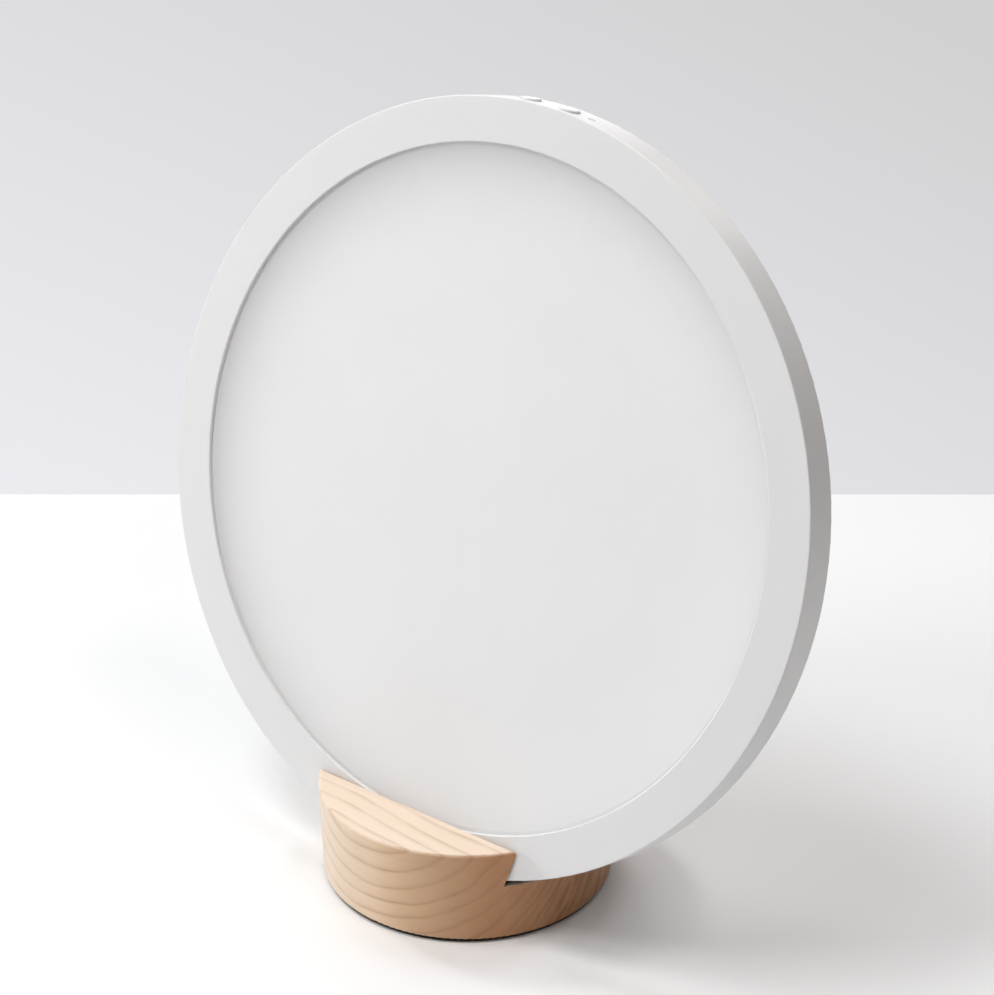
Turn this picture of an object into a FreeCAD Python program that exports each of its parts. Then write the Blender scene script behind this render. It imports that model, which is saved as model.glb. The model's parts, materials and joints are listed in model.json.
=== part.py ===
import FreeCAD, Part
import math
import os

# Light therapy lamp: a thin round light panel that leans back in a slot across a turned wooden foot.
# Millimetres, +Z up. The lamp faces -Y, the table is z = 0 and the foot's axis is the Z axis.
#
# The panel's pieces are drawn about the centre of its front face: X to the right as seen from the
# front, Y the depth behind the front face, Z up along the panel. stand_up() leans them into place.
# A pair of numbers named for a piece is its front and its back, or its inner and outer radius.

V = FreeCAD.Vector
ORIGIN = V(0, 0, 0)
ACROSS = V(1, 0, 0)
DEPTH = V(0, 1, 0)
UP = V(0, 0, 1)

# ---- the panel as a whole ------------------------------------------------------------------
HEAD_R = 120.0                 # rim
HEAD_T = 12.0                  # depth of the rim
TILT = 15.0                    # lean back from the vertical, degrees
SEAT_Y = -29.2                 # lowest point of the front face
SEAT_Z = 16.3
HEAD_CENTRE = V(
    0,
    SEAT_Y + HEAD_R * math.sin(math.radians(TILT)),
    SEAT_Z + HEAD_R * math.cos(math.radians(TILT)),
)

# ---- the foot ------------------------------------------------------------------------------
BASE_TOP = 32.5
BASE_TOP_R = 47.4
BASE_BOTTOM_R = 46.4
WOOD_ROUND = 0.9
WOOD_BOTTOM_ROUND = 0.6
SLOT_GAP = 0.6                 # wood to panel, front and back
SLOT_FLOOR_GAP = 1.8           # wood to rim, under the panel
PAD_R = 45.4
PAD_T = 1.4
PAD_ROUND = 0.4
BALLAST_R = 35.0
BALLAST_T = 5.0
BALLAST_GAP = 0.1              # above the pad
POCKET_GAP = 0.5               # round the ballast
BALLAST_SCREW_CIRCLE = 26.0
BALLAST_SCREW_ANGLES = (90, 210, 330)
BALLAST_SCREW_R = 1.5
BALLAST_SCREW_HEAD_R = 2.9
BALLAST_SCREW_LENGTH = 11.0
LINER_HALF = 30.0              # half its length across the foot
LINER_TOP = -108.0             # upper edge, below the panel's centre
LINER_FIT = 0.02               # to the wood
LINER_PLAY = 0.06              # to the panel

# ---- the front moulding and the rear cover ---------------------------------------------------
OPENING_R = 106.1
RING_T = 1.2                   # ring face, which overhangs the diffuser
RIM_WALL = 2.0
RIM_IN_R = HEAD_R - RIM_WALL
FRONT_ROUND = 0.4
BACK_ROUND = 0.6
OPENING_ROUND = 0.35
COVER_T = 1.8
COVER = (HEAD_T - COVER_T, HEAD_T)
COVER_SEAT_R = RIM_IN_R + 0.5
COVER_FIT = 0.1
BOSS_COUNT = 6
BOSS_FIRST = 30.0              # degrees from the top
BOSS_CIRCLE = 115.8
BOSS_R = 2.9                   # its flank also centres the tray
COVER_SCREW_R = 1.0
COVER_SCREW_HEAD_R = 1.9
COVER_SCREW_LENGTH = 7.0
HOUSING_R = 48.0               # round housing of the electronics, in the middle of the back
HOUSING_IN_R = 45.6
HOUSING_BACK = 22.0
HOUSING_FLOOR = HOUSING_BACK - COVER_T
HOUSING_ROUND = 2.5
COVER_HOLE_R = 46.9
SPIGOT_R = COVER_HOLE_R - COVER_FIT
SPIGOT_FRONT = COVER[0] + 0.2  # where the housing ends inside the cover's hole
HOOK_COUNT = 4                 # snap hooks that hold the housing in the cover
HOOK_R = COVER_HOLE_R + 0.9
HOOK = (COVER[0] - 1.0, COVER[0] - COVER_FIT)
HOOK_HALF = 3.0
PRESS_RIBS = (60.0, 100.0)     # ribs that hold the tray forward
RIB_T = 1.6
CABLE_GATE = 4.0               # half-width of the gap in the ribs

# ---- the light source ------------------------------------------------------------------------
DIFFUSER_R = 111.9
DIFFUSER = (1.3, 3.1)
GUIDE_R = 110.4
GUIDE = (3.2, 5.7)
REFLECTOR_R = 110.2
REFLECTOR = (5.8, 6.0)
TRAY = (6.1, 6.8)
TRAY_WALL = (112.0, 112.8)
STRIP = (111.6, 111.98)
CHIP_COUNT = 90
CHIP_WIDTH = 2.8
CHIP = (3.25, 5.65)
CHIP_HEIGHT = 0.9
CHIP_LIP = 0.3                 # case round the yellow window
LEAD_R = 0.4
LEAD_SPACING = 2.0
LEAD_PAD = 4.4                 # depth of its solder pad on the strip
LEAD_DEPTH = 9.5
LEAD_BEND = 0.8

# ---- the electronics in the housing ------------------------------------------------------------
BOARD = (10.4, 12.0)
BOARD_BACK = BOARD[1] + 0.02   # where its components stand
BOARD_HALF = 28.0
BOARD_UP = (-34.0, 31.0)
POST_PLACES = [(x, up) for x in (-24, 24) for up in (-24, 26)]
POST_R = 2.6
BOARD_SCREW_R = 1.05
BOARD_SCREW_HEAD_R = 1.9
BOARD_SCREW_LENGTH = 7.0
CAN_PLACES = ((-15, -18), (-6, 16))
CAN_R = 3.15
CAN_H = 5.4
COIL_CENTRE = (-15.0, -1.0)
COIL_SIDE = 10.0
COIL_H = 4.0
CHIP_CASES = ((12, 4, 7, 7, 1.0), (11, -12, 5, 4, 1.5), (19, -12, 5, 4, 1.5))
PIN_PITCH = 1.27
JACK_DEPTH = 16.0              # the inlet's axis
JACK_R = 3.1
JACK_UP = (-44.6, -31.0)
JACK_BORE = 10.1
JACK_PIN_R = 1.0
JACK_PIN_LENGTH = 8.68

# ---- the controls on the top of the rim ----------------------------------------------------------
BUTTON_ANGLES = {"power": -2.1, "dimmer": 4.8}   # degrees from the top, clockwise from the front
INDICATOR_ANGLE = 8.8
CONTROL_DEPTH = 4.6            # centre line, nearer the front than the back of the rim
BUTTON_R = 3.2
BUTTON_FIT = 0.1
BUTTON_PROUD = 0.7
BUTTON_ROUND = 0.35
EAR_REACH = 4.1                # two ears keep the button inside the rim
EAR_HALF = 1.6
FLANGE = (117.0, 117.86)
PLUNGER_R = 1.0
PLUNGER = (114.5, 115.8)
SWITCH_TOP = 115.15
SWITCH_HALF = 2.3
LENS_R = 1.2
LENS_SUNK = 0.15
LENS_ROUND = 0.15
LENS_FOOT = 114.4
FLEX = (112.85, 113.15)        # the flexible circuit lies round the tray's wall
FLEX_DEPTH = (1.6, 9.8)
FLEX_ANGLES = (-7.0, 12.0)
FLEX_TAIL_HALF = 3.0
SOCKET_UP = (20.0, 27.0)
SOCKET_SLOT_END = 22.0


# ---- shapes ----------------------------------------------------------------------------------
def disc(radius, front, back, x=0.0, up=0.0):
    """A cylinder along the panel's depth."""
    return Part.makeCylinder(radius, back - front, V(x, front, up), DEPTH)


def ring(inner, outer, front, back):
    return disc(outer, front, back).cut(disc(inner, front - 1, back + 1))


def block(x, depth, up):
    """A box from three (low, high) pairs."""
    size = [high - low for low, high in (x, depth, up)]
    return Part.makeBox(*size, V(x[0], depth[0], up[0]))


def about(middle, half):
    """The (low, high) pair of a span round its middle."""
    return (middle - half, middle + half)


def peg(radius, inner, outer):
    """A cylinder that points outward at the top of the panel, on the controls' centre line."""
    return Part.makeCylinder(radius, outer - inner, V(0, CONTROL_DEPTH, inner), UP)


def revolve(profile):
    """Turns a closed (radius, depth) outline about the panel's axis."""
    outline = Part.makePolygon([V(r, depth, 0) for r, depth in profile + profile[:1]])
    return Part.Face(outline).revolve(ORIGIN, DEPTH, 360)


def turn(shape, angle):
    """Turns a piece about the panel's axis, clockwise as seen from the front."""
    moved = shape.copy()
    moved.rotate(ORIGIN, DEPTH, angle)
    return moved


def around(shape, count, first):
    return [turn(shape, first + 360.0 * k / count) for k in range(count)]


def join(shapes):
    return shapes[0].multiFuse(shapes[1:]).removeSplitter()


def drill(shape, tools):
    return shape.cut(Part.makeCompound(tools))


def rounded(shape, size, radius, y=None, z=None):
    """Rounds the circular edges of this radius whose centre has this y or z."""
    edges = []
    for edge in shape.Edges:
        curve = edge.Curve
        if not isinstance(curve, Part.Circle) or abs(curve.Radius - radius) > 1e-4:
            continue
        offsets = [
            abs(place - wanted)
            for place, wanted in ((curve.Center.y, y), (curve.Center.z, z))
            if wanted is not None
        ]
        if max(offsets) < 1e-4:
            edges.append(edge)
    return shape.makeFillet(size, edges)


def wire_tube(points, radius, bend):
    """A round wire along straight runs joined by arcs."""
    edges = []
    start = points[0]
    for corner, after in zip(points[1:-1], points[2:]):
        arriving = (corner - start).normalize()
        leaving = (after - corner).normalize()
        half_turn = arriving.getAngle(leaving) / 2
        reach = bend * math.tan(half_turn)
        arc_start = corner - arriving * reach
        arc_end = corner + leaving * reach
        towards_centre = (leaving - arriving).normalize()
        centre = corner + towards_centre * (bend / math.cos(half_turn))
        edges.append(Part.LineSegment(start, arc_start).toShape())
        edges.append(Part.Arc(arc_start, centre - towards_centre * bend, arc_end).toShape())
        start = arc_end
    edges.append(Part.LineSegment(start, points[-1]).toShape())
    section = Part.Wire(Part.makeCircle(radius, points[0], points[1] - points[0]))
    return Part.Wire(edges).makePipeShell([section], True, True)


def screw(shank_r, head_r, head_t, length, countersunk):
    """A screw that enters along -Y, with the top of its head at y = 0."""
    shank = Part.makeCylinder(shank_r, length - head_t, V(0, -length, 0), DEPTH)
    tip = Part.makeCone(shank_r * 0.3, shank_r, shank_r, V(0, -length - shank_r, 0), DEPTH)
    if countersunk:
        head = Part.makeCone(shank_r, head_r, head_t, V(0, -head_t, 0), DEPTH)
    else:
        head = Part.makeCylinder(head_r, head_t, V(0, -head_t, 0), DEPTH)
        head = rounded(head, head_t * 0.35, head_r, y=0)
    arm = about(0, head_r * 0.62)
    blade = about(0, head_r * 0.12)
    recess = (-head_t * 0.6, 1)
    return join([shank, head, tip]).cut(block(arm, recess, blade)).cut(block(blade, recess, arm))


# ---- the foot's pieces -------------------------------------------------------------------------
def ballast_screw_places():
    for angle in BALLAST_SCREW_ANGLES:
        turned = math.radians(angle)
        x = BALLAST_SCREW_CIRCLE * math.cos(turned)
        y = BALLAST_SCREW_CIRCLE * math.sin(turned)
        yield V(x, y, PAD_T + BALLAST_GAP)


def wood_base():
    wood = Part.makeCone(BASE_BOTTOM_R, BASE_TOP_R, BASE_TOP - PAD_T, V(0, 0, PAD_T))
    wood = rounded(wood, WOOD_BOTTOM_ROUND, BASE_BOTTOM_R, z=PAD_T)
    slot = disc(HEAD_R + SLOT_FLOOR_GAP, -SLOT_GAP, HEAD_T + SLOT_GAP)
    wood = wood.cut(stand_up(slot))
    top_edges = [
        edge for edge in wood.Edges
        if edge.BoundBox.ZMin > BASE_TOP - 1e-4 and edge.BoundBox.ZLength < 1e-4
    ]
    wood = wood.makeFillet(WOOD_ROUND, top_edges)
    pocket = Part.makeCylinder(BALLAST_R + POCKET_GAP, BALLAST_T + 2 * BALLAST_GAP, V(0, 0, PAD_T))
    pilots = [
        Part.makeCylinder(BALLAST_SCREW_R + 0.05, BALLAST_SCREW_LENGTH + 2.5, place)
        for place in ballast_screw_places()
    ]
    return [drill(wood.cut(pocket), pilots)]


def ballast_plate():
    plate = Part.makeCylinder(BALLAST_R, BALLAST_T, V(0, 0, PAD_T + BALLAST_GAP))
    plate = rounded(plate, 0.6, BALLAST_R, z=PAD_T + BALLAST_GAP)
    hole_r = BALLAST_SCREW_R + 0.2
    sink_r = BALLAST_SCREW_HEAD_R + 0.2
    holes = [Part.makeCylinder(hole_r, BALLAST_T, place) for place in ballast_screw_places()]
    sinks = [Part.makeCone(sink_r, hole_r, 2.0, place) for place in ballast_screw_places()]
    return [drill(drill(plate, holes), sinks)]


def ballast_screws():
    fixings = []
    for place in ballast_screw_places():
        fixing = screw(BALLAST_SCREW_R, BALLAST_SCREW_HEAD_R, 1.9, BALLAST_SCREW_LENGTH, True)
        fixing.rotate(ORIGIN, ACROSS, -90)
        fixing.translate(place + V(0, 0, 0.1))
        fixings.append(fixing)
    return fixings


def foot_pad():
    return [rounded(Part.makeCylinder(PAD_R, PAD_T), PAD_ROUND, PAD_R, z=0)]


def slot_liner():
    gap = SLOT_GAP - LINER_FIT
    outside = disc(HEAD_R + SLOT_FLOOR_GAP - LINER_FIT, -gap, HEAD_T + gap)
    inside = disc(HEAD_R + LINER_PLAY, -LINER_PLAY, HEAD_T + LINER_PLAY)
    middle = block(about(0, LINER_HALF), about(0, HEAD_T * 2), (-HEAD_R - 10, LINER_TOP))
    return [stand_up(outside.cut(inside).common(middle))]


# ---- the panel's shell -------------------------------------------------------------------------
def front_frame():
    shell = revolve([
        (OPENING_R, 0), (HEAD_R, 0), (HEAD_R, HEAD_T), (COVER_SEAT_R, HEAD_T),
        (COVER_SEAT_R, COVER[0]), (RIM_IN_R, COVER[0]), (RIM_IN_R, RING_T), (OPENING_R, RING_T),
    ])
    shell = rounded(shell, FRONT_ROUND, HEAD_R, y=0)
    shell = rounded(shell, BACK_ROUND, HEAD_R, y=HEAD_T)
    shell = rounded(shell, OPENING_ROUND, OPENING_R, y=0)
    boss = disc(BOSS_R, RING_T - 0.2, COVER[0] - 0.05, up=BOSS_CIRCLE)
    shell = join([shell] + around(boss, BOSS_COUNT, BOSS_FIRST))
    pilot = disc(COVER_SCREW_R + 0.05, 3.4, COVER[0], up=BOSS_CIRCLE)
    button_hole = peg(BUTTON_R + BUTTON_FIT, FLANGE[0], HEAD_R + 2)
    lens_hole = peg(LENS_R + 0.04, FLANGE[0], HEAD_R + 2)
    holes = around(pilot, BOSS_COUNT, BOSS_FIRST)
    holes += [turn(button_hole, angle) for angle in BUTTON_ANGLES.values()]
    holes.append(turn(lens_hole, INDICATOR_ANGLE))
    return [drill(shell, holes)]


def rear_cover():
    plate = ring(COVER_HOLE_R, COVER_SEAT_R - COVER_FIT, *COVER)
    ribs = [ring(r, r + RIB_T, TRAY[1] + 0.05, COVER[0] + 0.2) for r in PRESS_RIBS]
    screw_hole = disc(COVER_SCREW_R + 0.1, COVER[0] - 1, HEAD_T + 1, up=BOSS_CIRCLE)
    sink_base = V(0, HEAD_T - 1.1, BOSS_CIRCLE)
    sink = Part.makeCone(COVER_SCREW_R + 0.1, COVER_SCREW_HEAD_R + 0.1, 1.1, sink_base, DEPTH)
    reach = PRESS_RIBS[-1] + 8
    cable_gate = block(about(0, CABLE_GATE), (TRAY[1] - 1, COVER[0]), about(0, reach))
    holes = around(screw_hole.fuse(sink), BOSS_COUNT, BOSS_FIRST) + [cable_gate]
    return [drill(join([plate] + ribs), holes)]


def rear_housing():
    """A round cap that snaps into the rear cover's hole and stands on the cover's back."""
    cap = revolve([
        (HOUSING_IN_R, SPIGOT_FRONT), (SPIGOT_R, SPIGOT_FRONT), (SPIGOT_R, HEAD_T),
        (HOUSING_R, HEAD_T), (HOUSING_R, HOUSING_BACK), (0, HOUSING_BACK),
        (0, HOUSING_FLOOR), (HOUSING_IN_R, HOUSING_FLOOR),
    ])
    cap = rounded(cap, HOUSING_ROUND, HOUSING_R, y=HOUSING_BACK)
    cap = rounded(cap, 0.4, HOUSING_R, y=HEAD_T)
    cap = rounded(cap, 1.0, HOUSING_IN_R, y=HOUSING_FLOOR)
    hook_stem = block(about(0, HOOK_HALF), (HOOK[0], COVER[1]), (HOUSING_IN_R, SPIGOT_R - 0.1))
    hook_catch = block(about(0, HOOK_HALF), HOOK, (HOUSING_IN_R, HOOK_R))
    hooks = around(hook_stem.fuse(hook_catch), HOOK_COUNT, 45)
    posts = [disc(POST_R, BOARD_BACK, HOUSING_FLOOR + 0.2, x, up) for x, up in POST_PLACES]
    holes = [disc(BOARD_SCREW_R + 0.07, BOARD[0], 19, x, up) for x, up in POST_PLACES]
    holes.append(Part.makeCylinder(JACK_R + 0.5, 6, V(0, JACK_DEPTH, -HOUSING_R - 2), UP))
    return [drill(join([cap] + hooks + posts), holes)]


def cover_screws():
    fixing = screw(COVER_SCREW_R, COVER_SCREW_HEAD_R, 1.0, COVER_SCREW_LENGTH, True)
    fixing.translate(V(0, HEAD_T - 0.05, BOSS_CIRCLE))
    return around(fixing, BOSS_COUNT, BOSS_FIRST)


# ---- the light source, front to back ----------------------------------------------------------
def diffuser_panel():
    return [disc(DIFFUSER_R, *DIFFUSER)]


def light_guide_plate():
    return [rounded(disc(GUIDE_R, *GUIDE), 0.2, GUIDE_R, y=GUIDE[0])]


def reflector_sheet():
    return [disc(REFLECTOR_R, *REFLECTOR)]


def led_tray():
    inner, outer = TRAY_WALL
    tray = revolve([
        (0, TRAY[0]), (inner, TRAY[0]), (inner, DIFFUSER[0] + 0.1),
        (outer, DIFFUSER[0] + 0.1), (outer, TRAY[1]), (0, TRAY[1]),
    ])
    notch_half = LEAD_SPACING / 2 + LEAD_R + 0.8
    lead_notch = block(about(0, notch_half), (TRAY[0] - 1, TRAY[1] + 1), (0.1 - inner, -GUIDE_R))
    return [tray.cut(lead_notch)]


def led_strip():
    return [ring(*STRIP, GUIDE[0], TRAY[0] - 0.05)]


def led_chips():
    """White cases with a sunk window, round the inside of the strip."""
    seat = STRIP[0] - 0.05
    face = seat - CHIP_HEIGHT
    case = block(about(0, CHIP_WIDTH / 2), CHIP, (face, seat))
    window_depth = (CHIP[0] + CHIP_LIP, CHIP[1] - CHIP_LIP)
    window = block(about(0, CHIP_WIDTH / 2 - CHIP_LIP), window_depth, (face - 1, face + 0.1))
    return around(case.cut(window), CHIP_COUNT, 180.0 / CHIP_COUNT)


def led_lead(x):
    """From a pad on the strip, through the tray's notch and up behind the tray to the board."""
    strip_z = LEAD_R + 0.1 - STRIP[0]
    return [wire_tube([
        V(x, LEAD_PAD, strip_z), V(x, LEAD_DEPTH, strip_z),
        V(x, LEAD_DEPTH, -26), V(x, BOARD[0] - 0.04, -26),
    ], LEAD_R, LEAD_BEND)]


def led_lead_plus():
    return led_lead(LEAD_SPACING / 2)


def led_lead_minus():
    return led_lead(-LEAD_SPACING / 2)


# ---- the electronics ---------------------------------------------------------------------------
def control_board():
    board = block(about(0, BOARD_HALF), BOARD, BOARD_UP)
    return [drill(board, [disc(BOARD_SCREW_R + 0.2, *BOARD, x, up) for x, up in POST_PLACES])]


def board_screws():
    fixings = []
    for x, up in POST_PLACES:
        fixing = screw(BOARD_SCREW_R, BOARD_SCREW_HEAD_R, 1.1, BOARD_SCREW_LENGTH, False)
        fixing.rotate(ORIGIN, UP, 180)
        fixing.translate(V(x, BOARD[0] - 1.15, up))
        fixings.append(fixing)
    return fixings


def driver_coil():
    x, up = COIL_CENTRE
    half = COIL_SIDE / 2
    case = block(about(x, half), (BOARD_BACK, BOARD_BACK + COIL_H), about(up, half))
    corners = [edge for edge in case.Edges if edge.BoundBox.YLength > COIL_H - 0.1]
    return [case.makeFillet(1.5, corners)]


def capacitors():
    cans = []
    for x, up in CAN_PLACES:
        top = BOARD_BACK + CAN_H
        can = rounded(disc(CAN_R, BOARD_BACK + 0.9, top, x, up), 0.5, CAN_R, y=top)
        foot = about(0, CAN_R + 0.15)
        plinth = block(foot, (BOARD_BACK, BOARD_BACK + 0.9), foot)
        plinth.translate(V(x, 0, up))
        cans.append(can.fuse(plinth))
    return cans


def driver_chips():
    chips = []
    for x, up, wide, tall, thick in CHIP_CASES:
        case = block(about(x, wide / 2), (BOARD_BACK + 0.1, BOARD_BACK + thick), about(up, tall / 2))
        legs = [
            block(about(x + PIN_PITCH * k, 0.2), (BOARD_BACK, BOARD_BACK + 0.3), about(up, tall / 2 + 0.8))
            for k in (-1.5, -0.5, 0.5, 1.5)
        ]
        chips.append(join([case] + legs))
    return chips


def flex_socket():
    socket = block(about(0, 4.5), (TRAY[1] + 0.1, BOARD[0] - 0.02), SOCKET_UP)
    tail_depth = (FLEX_DEPTH[1] - 0.36, FLEX_DEPTH[1] + 0.06)
    slot = block(about(0, FLEX_TAIL_HALF + 0.1), tail_depth, (SOCKET_SLOT_END, SOCKET_UP[1] + 1))
    return [socket.cut(slot)]


def dc_jack():
    case = block(about(0, 4.5), (BOARD_BACK, HOUSING_FLOOR - 0.1), JACK_UP)
    return [case.cut(Part.makeCylinder(JACK_R, JACK_BORE, V(0, JACK_DEPTH, JACK_UP[0]), UP))]


def dc_jack_pin():
    tip = JACK_UP[0] + JACK_BORE - 0.02 - JACK_PIN_LENGTH
    pin = Part.makeCylinder(JACK_PIN_R, JACK_PIN_LENGTH, V(0, JACK_DEPTH, tip), UP)
    return [rounded(pin, 0.6, JACK_PIN_R, z=tip)]


# ---- the controls ------------------------------------------------------------------------------
def control_flex():
    """A band round the tray's wall under the controls, and a tail down to the board's socket."""
    inner, outer = FLEX
    front, back = FLEX_DEPTH
    first, last = FLEX_ANGLES
    corners = [V(0, front, inner), V(0, front, outer), V(0, back, outer), V(0, back, inner)]
    section = Part.Face(Part.makePolygon(corners + corners[:1]))
    band = turn(section.revolve(ORIGIN, DEPTH, last - first), first)
    tail = block(about(0, FLEX_TAIL_HALF), (back - 0.3, back), (SOCKET_SLOT_END + 0.1, outer - 0.1))
    return [join([band, tail])]


def button_switches():
    half = about(0, SWITCH_HALF)
    case = block(half, about(CONTROL_DEPTH, SWITCH_HALF), (FLEX[1] + 0.08, SWITCH_TOP))
    well = peg(PLUNGER_R + 0.15, PLUNGER[0] - 0.6, SWITCH_TOP + 1)
    return [turn(case.cut(well), angle) for angle in BUTTON_ANGLES.values()]


def button_plunger(angle):
    plunger = rounded(peg(PLUNGER_R, *PLUNGER), 0.2, PLUNGER_R, z=PLUNGER[1])
    return [turn(plunger, angle)]


def button_cap(angle):
    top = HEAD_R + BUTTON_PROUD
    cap = join([
        peg(1.3, PLUNGER[1] + 0.05, FLANGE[0] + 0.1),
        block(about(0, EAR_REACH), about(CONTROL_DEPTH, EAR_HALF), FLANGE),
        peg(BUTTON_R, FLANGE[0] + 0.5, top),
    ])
    return [turn(rounded(cap, BUTTON_ROUND, BUTTON_R, z=top), angle)]


def power_button():
    return button_cap(BUTTON_ANGLES["power"])


def power_plunger():
    return button_plunger(BUTTON_ANGLES["power"])


def dimmer_button():
    return button_cap(BUTTON_ANGLES["dimmer"])


def dimmer_plunger():
    return button_plunger(BUTTON_ANGLES["dimmer"])


def indicator_lens():
    top = HEAD_R - LENS_SUNK
    lens = join([
        peg(0.9, LENS_FOOT, FLANGE[0] + 0.1),
        peg(LENS_R + 0.7, *FLANGE),
        peg(LENS_R, FLANGE[0] + 0.5, top),
    ])
    return [turn(rounded(lens, LENS_ROUND, LENS_R, z=top), INDICATOR_ANGLE)]


def indicator_led():
    body = block(about(0, 1.0), about(CONTROL_DEPTH, 0.6), (FLEX[1] + 0.03, LENS_FOOT - 0.4))
    return [turn(body, INDICATOR_ANGLE)]


# ---- assembly ----------------------------------------------------------------------------------
STANDING = [wood_base, ballast_plate, ballast_screws, foot_pad, slot_liner]
LEANING = [
    front_frame, rear_cover, rear_housing, cover_screws,
    diffuser_panel, light_guide_plate, reflector_sheet,
    led_tray, led_strip, led_chips, led_lead_plus, led_lead_minus,
    control_board, board_screws, driver_coil, capacitors, driver_chips,
    flex_socket, dc_jack, dc_jack_pin,
    control_flex, button_switches, indicator_lens, indicator_led,
    power_button, power_plunger, dimmer_button, dimmer_plunger,
]


def stand_up(shape):
    """Leans a piece of the panel back and lowers it into the foot's slot."""
    lean = FreeCAD.Placement(HEAD_CENTRE, FreeCAD.Rotation(ACROSS, -TILT))
    moved = shape.copy()
    moved.Placement = lean.multiply(moved.Placement)
    return moved


def save(name, solids):
    whole = solids[0] if len(solids) == 1 else Part.makeCompound(solids)
    whole.exportStep(f"parts/{name}.step")


os.makedirs("parts", exist_ok=True)
for piece in STANDING:
    save(piece.__name__, piece())
for piece in LEANING:
    save(piece.__name__, [stand_up(solid) for solid in piece()])
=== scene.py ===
"""Light therapy lamp: a round opal panel leaning back in a turned wooden foot.

Lengths are in metres. The lamp's front faces -Y, and its right, seen from the front, is +X.
"""
import json
import math

import bpy
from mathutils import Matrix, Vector

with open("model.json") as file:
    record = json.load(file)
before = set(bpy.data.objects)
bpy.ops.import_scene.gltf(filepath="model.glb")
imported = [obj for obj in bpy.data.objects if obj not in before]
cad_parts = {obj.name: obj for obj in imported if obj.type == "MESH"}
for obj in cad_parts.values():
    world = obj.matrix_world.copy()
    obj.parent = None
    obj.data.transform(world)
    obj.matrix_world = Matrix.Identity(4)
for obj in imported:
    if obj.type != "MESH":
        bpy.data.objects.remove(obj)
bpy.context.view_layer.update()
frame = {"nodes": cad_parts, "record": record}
NODES = frame["nodes"]
SLOT_OF = {part["node"]: part["material_slot"] for part in frame["record"]["subparts"]}


def direction_to(azimuth, elevation):
    """The way from the lamp to a place round it. Azimuth 0 is in front, and 90 at the right."""
    a, e = math.radians(azimuth), math.radians(elevation)
    return Vector((math.sin(a) * math.cos(e), -math.cos(a) * math.cos(e), math.sin(e)))


# ---- camera ----------------------------------------------------------------------------------
# Solved from the outlines of the rim, the opening and the foot.
CAMERA_TARGET = Vector((0.012076, 0.0, 0.134820))
CAMERA_AZIMUTH = 38.045
CAMERA_ELEVATION = 26.260
CAMERA_DISTANCE = 0.89884
LENS = 107.905                 # in millimetres, as the sensor's width is
SENSOR_WIDTH = 36.0
CLIP_START = 0.05
CAMERA_BACK = direction_to(CAMERA_AZIMUTH, CAMERA_ELEVATION)
VIEW_RIGHT = direction_to(CAMERA_AZIMUTH + 90.0, 0.0)
VIEW_AHEAD = direction_to(CAMERA_AZIMUTH + 180.0, 0.0)


def turn_towards(item, direction):
    """Turns a camera or a lamp to look along direction, with its own Y upward."""
    item.rotation_mode = "QUATERNION"
    item.rotation_quaternion = direction.to_track_quat("-Z", "Y")


def make_camera():
    camera = bpy.data.objects.new("camera", bpy.data.cameras.new("camera"))
    bpy.context.scene.collection.objects.link(camera)
    camera.data.lens = LENS
    camera.data.sensor_width = SENSOR_WIDTH
    camera.data.clip_start = CLIP_START
    camera.location = CAMERA_TARGET + CAMERA_BACK * CAMERA_DISTANCE
    turn_towards(camera, -CAMERA_BACK)
    bpy.context.scene.camera = camera


# ---- node trees ------------------------------------------------------------------------------
COLOUR_A = 6                   # the Mix node's sockets for colours
COLOUR_B = 7
COLOUR_RESULT = 2


def set_inputs(node, **constants):
    """Sets a node's inputs by name, where an underscore stands for a space."""
    for name, value in constants.items():
        node.inputs[name.replace("_", " ")].default_value = value


class Tree:
    """Makes and joins shader nodes. A value is a socket, a number or a tuple."""

    def __init__(self, node_tree):
        self.node_tree = node_tree

    def node(self, kind, **settings):
        made = self.node_tree.nodes.new(kind)
        for key, value in settings.items():
            setattr(made, key, value)
        return made

    def link(self, value, target):
        """Joins a socket, or writes a constant, to an input."""
        if isinstance(value, bpy.types.NodeSocket):
            self.node_tree.links.new(value, target)
        elif target.type == "RGBA":
            target.default_value = (*value, 1.0)
        else:
            target.default_value = value

    def filled(self, kind, *values, **settings):
        """A node whose first inputs take values, in order."""
        made = self.node(kind, **settings)
        for value, target in zip(values, made.inputs):
            self.link(value, target)
        return made

    def math(self, operation, *values):
        return self.filled("ShaderNodeMath", *values, operation=operation).outputs[0]

    def multiply(self, first, *others):
        for other in others:
            first = self.math("MULTIPLY", first, other)
        return first

    def multiply_add(self, value, factor, rest):
        return self.math("MULTIPLY_ADD", value, factor, rest)

    def dot(self, a, b):
        return self.filled("ShaderNodeVectorMath", a, b, operation="DOT_PRODUCT").outputs["Value"]

    def distance(self, a, b):
        return self.filled("ShaderNodeVectorMath", a, b, operation="DISTANCE").outputs["Value"]

    def join(self, x, y, z=0.0):
        return self.filled("ShaderNodeCombineXYZ", x, y, z).outputs["Vector"]

    def span(self, value, low, high, to_low=0.0, to_high=1.0):
        """Maps low..high of value to to_low..to_high, clamped."""
        made = self.filled("ShaderNodeMapRange", value, low, high, to_low, to_high, clamp=True)
        return made.outputs["Result"]

    def mix(self, factor, a, b, blend="MIX"):
        made = self.filled("ShaderNodeMix", factor, data_type="RGBA", blend_type=blend)
        self.link(a, made.inputs[COLOUR_A])
        self.link(b, made.inputs[COLOUR_B])
        return made.outputs[COLOUR_RESULT]


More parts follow.
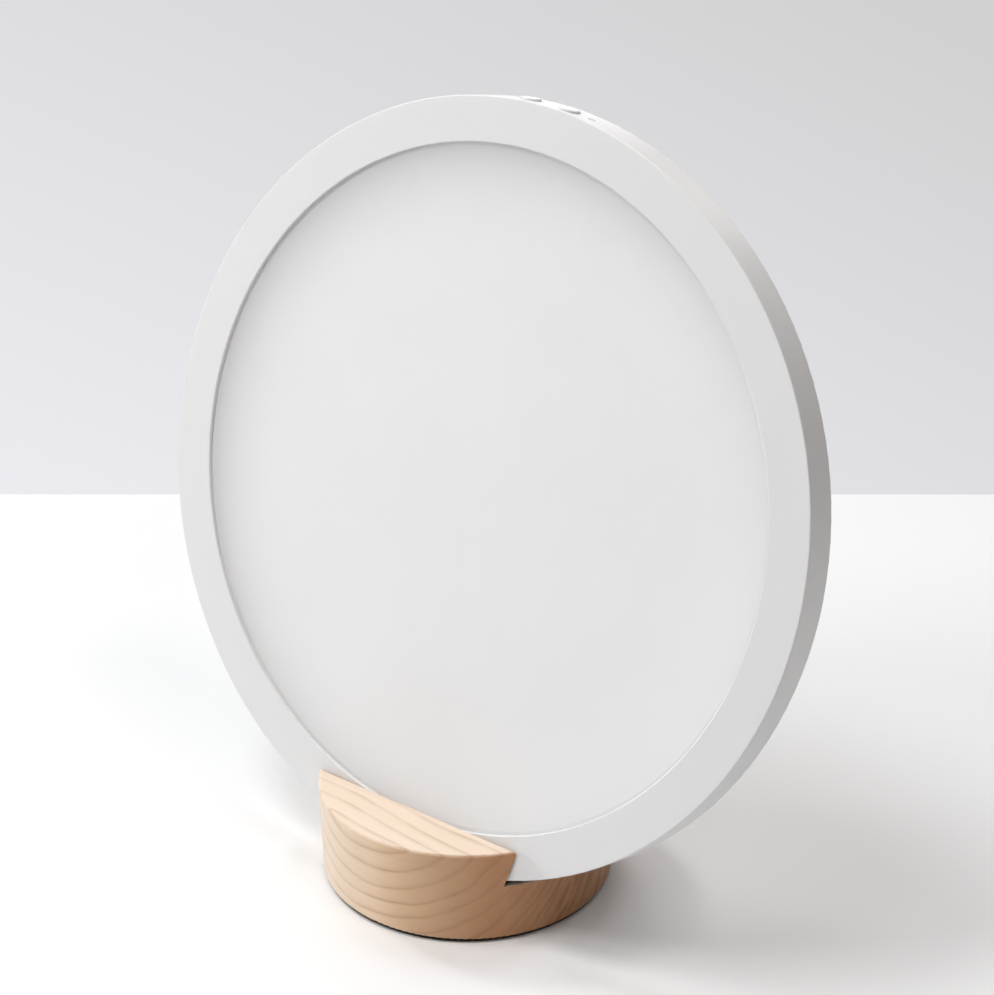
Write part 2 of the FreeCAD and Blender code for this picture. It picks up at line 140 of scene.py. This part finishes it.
class Look(Tree):
    """One slot's material: a node tree round a Principled shader, with textures by the metre."""

    def __init__(self, slot, roughness, **constants):
        self.slot = slot
        self.material = bpy.data.materials.new("look_" + slot)
        self.material.use_nodes = True
        super().__init__(self.material.node_tree)
        self.shader = self.node_tree.nodes["Principled BSDF"]
        self.place = self.node("ShaderNodeTexCoord").outputs["Object"]
        set_inputs(self.shader, Roughness=roughness, **constants)

    def stretch(self, x, y=1.0, z=1.0):
        """The place with its axes scaled: under 1 draws a texture out along that axis."""
        mapping = self.node("ShaderNodeMapping", vector_type="POINT")
        self.link(self.place, mapping.inputs["Vector"])
        set_inputs(mapping, Scale=(x, y, z))
        return mapping.outputs["Vector"]

    def texture(self, made, place=None, **constants):
        """Gives a texture node its place and its inputs."""
        self.link(place or self.place, made.inputs["Vector"])
        set_inputs(made, **constants)
        return made

    def noise(self, scale, detail=2.0, rough=0.5, distortion=0.0, place=None):
        made = self.texture(self.node("ShaderNodeTexNoise"), place, Scale=scale, Detail=detail,
                            Roughness=rough, Distortion=distortion)
        return made.outputs["Fac"]

    def cells(self, scale, place=None):
        """The distance to the middle of the nearest cell."""
        return self.texture(self.node("ShaderNodeTexVoronoi"), place, Scale=scale).outputs["Distance"]

    def grey_ramp(self, value, stops):
        """Greys between stops, each a position and a level."""
        made = self.filled("ShaderNodeValToRGB", value)
        elements = made.color_ramp.elements
        while len(elements) < len(stops):
            elements.new(0.5)
        for element, (position, level) in zip(elements, stops):
            element.position = position
            element.color = (level, level, level, 1.0)
        return made.outputs["Color"]

    def colour(self, value):
        self.link(value, self.shader.inputs["Base Color"])

    def roughness(self, value):
        self.link(value, self.shader.inputs["Roughness"])

    def bump(self, height, depth, under=None):
        """Raises the surface by depth where height is 1, on top of the bump under it."""
        made = self.node("ShaderNodeBump")
        set_inputs(made, Distance=depth)
        self.link(height, made.inputs["Height"])
        if under:
            self.link(under, made.inputs["Normal"])
        self.link(made.outputs["Normal"], self.shader.inputs["Normal"])
        return made.outputs["Normal"]


def shade(colour, factor):
    return tuple(min(1.0, channel * factor) for channel in colour)


# ---- plastics, rubber and metals ---------------------------------------------------------------
USUAL = (0.3, 0.7)             # most values of a noise lie between these
GLOSS_SPREAD = 0.03


def moulded(slot, colour, roughness, grain=1800.0, depth=0.000008, spread=0.02):
    """Moulded plastic: faint flow clouds, a fine spark-eroded grain and a slightly uneven gloss."""
    look = Look(slot, roughness)
    clouds = look.span(look.noise(scale=14.0, detail=3.0), *USUAL)
    look.colour(look.mix(clouds, shade(colour, 1 - spread), shade(colour, 1 + spread)))
    gloss = look.noise(scale=60.0, detail=3.0)
    look.roughness(look.span(gloss, 0.25, 0.75, roughness - GLOSS_SPREAD, roughness + GLOSS_SPREAD))
    look.bump(look.noise(grain, rough=0.6), depth)
    return look


RUBBER_ROUGHNESS = 0.8
RUBBER_ROUGHNESS_SPREAD = 0.08
BLOOM = 1.9                    # how much lighter the rubber is where it has bloomed
PEBBLES = 1500.0
PEBBLE_DEPTH = 0.00004


def rubber(slot, colour):
    """Matt rubber: a pebbled skin with a grey bloom on it."""
    look = Look(slot, RUBBER_ROUGHNESS, Specular_IOR_Level=0.3)
    bloom = look.noise(scale=70.0, detail=4.0, rough=0.65)
    look.colour(look.mix(look.span(bloom, 0.35, 0.75), colour, shade(colour, BLOOM)))
    look.roughness(look.span(bloom, *USUAL, RUBBER_ROUGHNESS - RUBBER_ROUGHNESS_SPREAD,
                             RUBBER_ROUGHNESS + RUBBER_ROUGHNESS_SPREAD))
    look.bump(look.cells(PEBBLES), PEBBLE_DEPTH)
    return look


UNWORKED = (1.0, 1.0, 1.0)     # how the grain of a metal is scaled along X, Y and Z
ROLLED_ALONG_X = (0.05, 1.0, 1.0)
DRAWN_ALONG_Y = (1.0, 0.05, 1.0)
METAL_GRAIN = 900.0
METAL_GRAIN_DEPTH = 0.000006
STAIN_SHADE = 0.9              # times the metal's colour, in its stains
CLEAN_SHADE = 1.05             # between them
GRAIN_SHADE = 0.75             # and along its grain
METAL_SMOOTHER = 0.07          # how far the grain changes the roughness, either way
METAL_ROUGHER = 0.1


def metal(slot, colour, roughness, grain=UNWORKED):
    """Bare or plated metal: its grain is drawn out along the way it was rolled or turned."""
    look = Look(slot, roughness, Metallic=1.0)
    lines = look.noise(METAL_GRAIN, detail=3.0, rough=0.6, place=look.stretch(*grain))
    stains = look.span(look.noise(scale=45.0, detail=4.0), 0.35, 0.7)
    tone = look.mix(stains, shade(colour, STAIN_SHADE), shade(colour, CLEAN_SHADE))
    look.colour(look.mix(look.span(lines, *USUAL, 0.0, 0.25), tone, shade(colour, GRAIN_SHADE)))
    look.roughness(look.span(lines, *USUAL, roughness - METAL_SMOOTHER, roughness + METAL_ROUGHER))
    look.bump(lines, METAL_GRAIN_DEPTH)
    return look


# ---- the opal sheet and the clear one behind it ------------------------------------------------
PANEL_CENTRE = (0.0, 0.001858, 0.132211)      # the middle of its front
DISH_INNER = 0.070             # from that middle to where the sheet's shading starts to rise
DISH_OUTER = 0.105             # and to where it is at its full height
DISH_RISE = 0.0021             # an even rise
DISH_EDGE_RISE = 0.0017        # and a steeper one, close to the edge
PAINTED_EDGE_SHADE = 0.115             # painted shade: the sheet's colour darkens towards its edge, where the ring's lip shades it
OPAL_DARK = (0.864, 0.867, 0.872)
OPAL_LIGHT = (0.884, 0.888, 0.894)
OPAL_ROUGHNESS = (0.58, 0.66)
PURE_BLACK = (0.0, 0.0, 0.0)
FROST = 2600.0
FROST_DEPTH = 0.000006


def opal_acrylic():
    """Frosted opal sheet: matt, very even, with light pigment clouds, a slightly dished edge and painted
    shade towards that edge.
    """
    look = Look("opal_acrylic", 0.62, Specular_IOR_Level=0.35)
    clouds = look.span(look.noise(scale=22.0, detail=3.0), *USUAL)
    near_edge = look.span(look.distance(look.place, PANEL_CENTRE), DISH_INNER, DISH_OUTER)
    # painted shade: the colour darkens towards black near the edge, standing in for the lip's shadow
    painted_edge_shade = look.multiply(look.math("POWER", near_edge, 3.0), PAINTED_EDGE_SHADE)
    look.colour(look.mix(painted_edge_shade, look.mix(clouds, OPAL_DARK, OPAL_LIGHT), PURE_BLACK))
    look.roughness(look.span(look.noise(scale=300.0), *USUAL, *OPAL_ROUGHNESS))
    dished = look.bump(look.math("POWER", near_edge, 2.0), DISH_RISE)
    dished = look.bump(look.math("POWER", near_edge, 6.0), DISH_EDGE_RISE, under=dished)
    look.bump(look.noise(FROST, rough=0.6), FROST_DEPTH, under=dished)
    return look


LIGHT_DOTS = 420.0             # the dots that let the light out of the clear sheet
LIGHT_DOT_DEPTH = 0.00003
DOT_EDGE = (0.15, 0.3)         # where a dot gives way to clear sheet, in dot spacings


def clear_acrylic():
    """Clear sheet: polished, with a field of matt dots."""
    look = Look("clear_acrylic", 0.05, IOR=1.49, Transmission_Weight=1.0)
    dots = look.cells(LIGHT_DOTS)
    look.colour(look.mix(look.span(dots, *DOT_EDGE), (0.97, 0.98, 0.98), (0.90, 0.94, 0.95)))
    look.roughness(look.span(dots, *DOT_EDGE, 0.45, 0.03))
    look.bump(look.span(dots, 0.1, 0.35), LIGHT_DOT_DEPTH)
    return look


# ---- the turned wood ---------------------------------------------------------------------------
PITH_Y = -0.0685               # the growth layers lie round a pith in front of the foot
PITH_Z = 0.0476
LAYER_SPACING = 0.0049
LAYER_TURN = math.radians(-3.1)          # of the pith away from X, seen from above
LAYER_PHASE = 0.38
LAYER_WAVES = (                # each with its scale, its stretch along X and its height in layers
    (16.0, 0.45, 1.8),
    (48.0, 0.35, 1.0),
    (150.0, 0.30, 0.30),
)
LAYER_DARKNESS = (             # from one spring, at 0, to the next: late wood is dark
    (0.0, 0.16), (0.10, 0.0), (0.58, 0.06), (0.78, 0.36), (0.89, 1.0), (1.0, 0.16),
)
EARLY_WOOD = (0.855, 0.722, 0.594)
LATE_WOOD = (0.600, 0.430, 0.300)
SIDE_SHADE = (1.03, 0.91, 0.755)          # painted shade on the turned side; this and the next four multiply the wood's tone
# end grain darkening, weak on the left end and full on the right: partly real end grain, partly painted
# shade
END_GRAIN_AND_SHADE = (0.615, 0.430, 0.315)
CUT_LINES = (0.70, 0.62, 0.55)
STREAKS = (0.92, 0.83, 0.75)
FIBRES = (0.88, 0.80, 0.72)
PORES = (0.60, 0.45, 0.32)
STREAK_SHARE = 0.30            # how strongly each shows at most
FIBRE_SHARE = 0.25
PORE_SHARE = 0.30
FIBRE_STRETCH = 0.025          # along X, which draws the texture out along the fibres
PORE_STRETCH = 0.10
CUT_LINE_STRETCH = 0.10
WOOD_RELIEF = 0.00005
LAYER_HEIGHT = 0.35            # parts of that relief
FIBRE_HEIGHT = 0.5
PORE_HEIGHT = -0.8


def growth_layers(look, from_pith):
    """How dark the growth layers are, and how far through its season the wood is."""
    count = look.multiply_add(from_pith, 1.0 / LAYER_SPACING, LAYER_PHASE)
    for scale, stretch, height in LAYER_WAVES:
        wave = look.noise(scale, place=look.stretch(stretch))
        count = look.multiply_add(wave, height, count)
    season = look.math("FRACT", count)
    year = look.node("ShaderNodeTexWhiteNoise", noise_dimensions="1D")
    look.link(look.math("FLOOR", count), year.inputs["W"])
    vivid = look.span(year.outputs["Value"], 0.0, 1.0, 0.55, 1.0)
    worn = look.span(look.noise(scale=70.0, detail=3.0), 0.35, 0.65, 0.45, 1.0)
    return look.multiply(look.grey_ramp(season, LAYER_DARKNESS), vivid, worn), season


def turned_wood():
    """Pale ash: curved growth layers, fibres along X, pores in the early wood, darker end grain, and painted
    shade on the turned side and the right-facing end.
    """
    look = Look("turned_wood", 0.5, Specular_IOR_Level=0.4)
    along_layers = look.dot(look.place, (-math.sin(LAYER_TURN), math.cos(LAYER_TURN), 0.0))
    height = look.dot(look.place, (0.0, 0.0, 1.0))
    width = look.dot(look.place, (1.0, 0.0, 0.0))
    from_pith = look.distance(look.join(along_layers, height), (PITH_Y, PITH_Z, 0.0))

    # Where the surface faces: the turned side, and the two ends of the fibres. The side and the right-facing
    # end carry painted shade.
    normal = look.node("ShaderNodeTexCoord").outputs["Normal"]
    facing = look.filled("ShaderNodeSeparateXYZ", normal).outputs
    # painted shade: the turned side, except where it faces left, is darker and warmer than the top
    side = look.multiply(look.span(facing["Z"], 0.95, 0.50), look.span(facing["X"], -0.5, 0.2))
    # painted shade: everything facing right darkens, with the real end grain at its far end
    shaded_right_end = look.span(facing["X"], 0.0, 0.75)
    left_end = look.span(facing["X"], -0.60, -1.0, 0.0, 0.25)
    far_right = look.span(facing["X"], 0.80, 0.97)
    soft_right = look.span(facing["X"], 0.45, 0.80, 1.0, 0.55)

    darkness, season = growth_layers(look, from_pith)
    darkness = look.multiply(darkness, soft_right)
    along_fibres = look.stretch(FIBRE_STRETCH)
    fibres = look.noise(scale=1500.0, detail=3.0, rough=0.65, place=along_fibres)
    streaks = look.noise(scale=260.0, detail=3.0, rough=0.6, place=along_fibres)
    pores = look.span(look.cells(scale=620.0, place=look.stretch(PORE_STRETCH)), 0.10, 0.22, 1.0, 0.0)
    pores = look.multiply(pores, look.span(season, 0.02, 0.35, 1.0, 0.25))
    end_height = look.multiply(look.math("ADD", along_layers, height), CUT_LINE_STRETCH)
    end_place = look.join(from_pith, end_height, look.multiply(width, CUT_LINE_STRETCH))
    cut_lines = look.noise(scale=520.0, detail=3.0, rough=0.6, distortion=0.3, place=end_place)
    cut_lines = look.multiply(look.span(cut_lines, 0.42, 0.66), far_right)

    tone = look.mix(darkness, EARLY_WOOD, LATE_WOOD)
    tone = look.mix(look.span(streaks, 0.35, 0.7, 0.0, STREAK_SHARE), tone, STREAKS, "MULTIPLY")
    tone = look.mix(look.span(fibres, 0.3, 0.75, 0.0, FIBRE_SHARE), tone, FIBRES, "MULTIPLY")
    tone = look.mix(look.multiply(pores, PORE_SHARE), tone, PORES)
    tone = look.mix(cut_lines, tone, CUT_LINES, "MULTIPLY")
    # painted shade on the turned side
    tone = look.mix(side, tone, SIDE_SHADE, "MULTIPLY")
    # darker end grain, weak on the left and full on the right, where it is mostly painted shade
    look.colour(look.mix(look.math("ADD", shaded_right_end, left_end), tone, END_GRAIN_AND_SHADE, "MULTIPLY"))
    look.roughness(look.span(fibres, *USUAL, 0.44, 0.58))
    relief = look.multiply_add(pores, PORE_HEIGHT, look.multiply(fibres, FIBRE_HEIGHT))
    look.bump(look.multiply_add(darkness, LAYER_HEIGHT, relief), WOOD_RELIEF)
    return look


# ---- circuits ----------------------------------------------------------------------------------
TRACK_DEPTH = 0.00003
LANE_DEPTH = 0.00001


def board_laminate():
    """Solder mask over copper tracks."""
    look = Look("board_laminate", 0.35)
    bricks = look.node("ShaderNodeTexBrick", offset=0.5)
    tracks = look.texture(bricks, Scale=220.0, Mortar_Size=0.06).outputs["Fac"]
    cover = look.mix(tracks, (0.03, 0.20, 0.08), (0.07, 0.34, 0.15))
    clouds = look.span(look.noise(scale=90.0), *USUAL, 0.0, 0.4)
    look.colour(look.mix(clouds, cover, (0.02, 0.16, 0.07)))
    look.roughness(look.span(look.noise(scale=500.0), *USUAL, 0.28, 0.42))
    look.bump(tracks, TRACK_DEPTH)
    return look


def flex_film():
    """Amber film with copper lanes inside."""
    look = Look("flex_film", 0.3)
    bands = look.node("ShaderNodeTexWave", wave_type="BANDS", bands_direction="X")
    lanes = look.texture(bands, Scale=320.0, Distortion=0.3).outputs["Fac"]
    look.colour(look.mix(look.span(lanes, 0.4, 0.6), (0.42, 0.20, 0.05), (0.62, 0.36, 0.10)))
    look.roughness(look.span(look.noise(scale=400.0), *USUAL, 0.24, 0.38))
    look.bump(lanes, LANE_DEPTH)
    return look


# ---- a look for every slot ---------------------------------------------------------------------
WHITE_SHELL = (0.817, 0.820, 0.824)
BLACK = (0.028, 0.028, 0.030)

MOULDED = {
    "white_shell": dict(colour=WHITE_SHELL, roughness=0.42, spread=0.006),
    "button_cap": dict(colour=WHITE_SHELL, roughness=0.40, spread=0.006),
    "rear_shell": dict(
        colour=(0.80, 0.80, 0.795), roughness=0.55, grain=1100.0, depth=0.00003, spread=0.01),
    "indicator_lens": dict(colour=(0.66, 0.67, 0.68), roughness=0.3, depth=0.000003),
    "indicator_led": dict(colour=(0.88, 0.86, 0.68), roughness=0.2),
    "reflector_white": dict(colour=(0.93, 0.93, 0.93), roughness=0.5, spread=0.01),
    "strip_film": dict(colour=(0.88, 0.88, 0.84), roughness=0.4),
    "led_package": dict(colour=(0.92, 0.84, 0.46), roughness=0.35, spread=0.05),
    "lead_red": dict(colour=(0.60, 0.04, 0.03), roughness=0.35),
    "lead_black": dict(colour=BLACK, roughness=0.35, spread=0.1),
    "coil_ferrite": dict(colour=(0.09, 0.09, 0.10), roughness=0.7, spread=0.15),
    "chip_black": dict(colour=BLACK, roughness=0.6, spread=0.1),
    "socket_plastic": dict(colour=(0.79, 0.77, 0.69), roughness=0.45),
    "jack_plastic": dict(colour=BLACK, roughness=0.35, spread=0.1),
    "switch_body": dict(colour=(0.05, 0.05, 0.05), roughness=0.5, spread=0.1),
    "plunger_plastic": dict(colour=(0.60, 0.10, 0.06), roughness=0.4),
}
RUBBERS = {
    "liner_rubber": (0.035, 0.034, 0.033),
    "pad_rubber": (0.026, 0.022, 0.019),
}
METALS = {
    "ballast_steel": dict(colour=(0.50, 0.50, 0.51), roughness=0.4, grain=ROLLED_ALONG_X),
    "screw_steel": dict(colour=(0.56, 0.56, 0.57), roughness=0.32),
    "cover_screw_steel": dict(colour=(0.42, 0.42, 0.43), roughness=0.35),
    "tray_aluminium": dict(colour=(0.78, 0.79, 0.80), roughness=0.35, grain=ROLLED_ALONG_X),
    "can_aluminium": dict(colour=(0.76, 0.76, 0.78), roughness=0.3, grain=DRAWN_ALONG_Y),
    "jack_metal": dict(colour=(0.78, 0.75, 0.68), roughness=0.18),
}


def make_looks():
    """The material of each slot in the record."""
    looks = [turned_wood(), opal_acrylic(), clear_acrylic(), board_laminate(), flex_film()]
    looks += [moulded(slot, **finish) for slot, finish in MOULDED.items()]
    looks += [rubber(slot, colour) for slot, colour in RUBBERS.items()]
    looks += [metal(slot, **finish) for slot, finish in METALS.items()]
    return {look.slot: look.material for look in looks}


def dress_nodes():
    materials = make_looks()
    for name, node in NODES.items():
        node.material_slots[0].material = materials[SLOT_OF[name]]


# ---- table, wall and light ---------------------------------------------------------------------
TABLE_BACK = 0.2686            # from the foot's centre to the table's back edge, along the view
TABLE_FRONT = 1.3              # and to its front edge
TABLE_SIDE = 1.7               # and to either side of it
TABLE_WHITE = (0.914, 0.923, 0.930)
TABLE_MOTTLE = 0.004


def make_table():
    """A plain white table top that ends in a level line behind the lamp."""
    corners = [
        VIEW_RIGHT * side + VIEW_AHEAD * ahead
        for side, ahead in ((-TABLE_SIDE, TABLE_BACK), (-TABLE_SIDE, -TABLE_FRONT),
                            (TABLE_SIDE, -TABLE_FRONT), (TABLE_SIDE, TABLE_BACK))
    ]
    mesh = bpy.data.meshes.new("table_top")
    mesh.from_pydata([tuple(corner) for corner in corners], [], [(0, 1, 2, 3)])
    table = bpy.data.objects.new("table_top", mesh)
    bpy.context.scene.collection.objects.link(table)
    look = Look("table_top", 0.6, Specular_IOR_Level=0.3)
    clouds = look.span(look.noise(scale=9.0, detail=3.0), *USUAL)
    look.colour(look.mix(clouds, shade(TABLE_WHITE, 1 - TABLE_MOTTLE), shade(TABLE_WHITE, 1 + TABLE_MOTTLE)))
    mesh.materials.append(look.material)


AMBIENT = 0.02
WALL_LOW = (0.840, 0.831, 0.872)
WALL_HIGH = (0.642, 0.641, 0.649)
WALL_FADE_UP = 3.6             # how fast the wall darkens upward
WALL_FADE_RIGHT = 1.5          # and to the right
WALL_FADE_START = -1.80
WALL_FADE_END = -0.85
WHITE = (1.0, 1.0, 1.0)


def make_world():
    """An even room light. The camera sees a pale wall that darkens upward and to the right."""
    world = bpy.data.worlds.new("room")
    bpy.context.scene.world = world
    world.use_nodes = True
    world.node_tree.nodes.clear()
    tree = Tree(world.node_tree)
    direction = tree.node("ShaderNodeTexCoord").outputs["Generated"]
    fade = Vector((0.0, 0.0, WALL_FADE_UP)) + VIEW_RIGHT * WALL_FADE_RIGHT
    along_fade = tree.dot(direction, tuple(fade))
    wall = tree.mix(tree.span(along_fade, WALL_FADE_START, WALL_FADE_END), WALL_LOW, WALL_HIGH)
    seen = tree.filled("ShaderNodeBackground", wall).outputs[0]
    room = tree.filled("ShaderNodeBackground", WHITE, AMBIENT).outputs[0]
    path = tree.node("ShaderNodeLightPath").outputs
    direct = tree.math("MAXIMUM", path["Is Camera Ray"], path["Is Transmission Ray"])
    shown = tree.filled("ShaderNodeMixShader", direct, room, seen).outputs[0]
    tree.filled("ShaderNodeOutputWorld", shown)


LAMP_AIM = Vector((0.0, 0.0, 0.12))      # near the middle of the panel
LAMP_DISTANCE = 1.6
SMALL = 0.3                    # how wide a softbox is
LARGE = 0.5
WARM = (1.0, 0.89, 0.83)


def softbox(name, azimuth, elevation, size, watts, colour=WHITE):
    """A round soft lamp that looks at the panel."""
    data = bpy.data.lights.new(name, "AREA")
    data.shape = "DISK"
    data.size = size
    data.energy = watts
    data.color = colour
    lamp = bpy.data.objects.new(name, data)
    back = direction_to(azimuth, elevation)
    lamp.location = LAMP_AIM + back * LAMP_DISTANCE
    turn_towards(lamp, -back)
    bpy.context.scene.collection.objects.link(lamp)


def make_lights():
    softbox("high_left_front", -45.0, 68.0, LARGE, 7.1)
    softbox("high_front", -30.0, 48.0, LARGE, 5.7)
    softbox("overhead_front", 0.0, 68.0, LARGE, 2.3)
    softbox("low_left_front", -61.7, 2.7, SMALL, 5.6)
    softbox("left", -92.3, 40.6, SMALL, 5.8)
    softbox("left_back", -120.0, 48.0, LARGE, 2.9)
    softbox("high_left_back", -135.0, 68.0, LARGE, 3.5)
    softbox("high_right", 86.7, 65.9, SMALL, 2.75, WARM)
    softbox("right_front", 60.0, 48.0, LARGE, 2.1, WARM)
    softbox("right_back", 150.0, 25.0, LARGE, 1.7)
    softbox("back", 180.0, 25.0, LARGE, 2.9)
    softbox("low_back", -150.0, 7.0, LARGE, 1.5)
    softbox("low_front", 0.0, 7.0, LARGE, 0.8)


make_camera()
dress_nodes()
make_table()
make_world()
make_lights()
bpy.context.scene.view_settings.view_transform = "Standard"
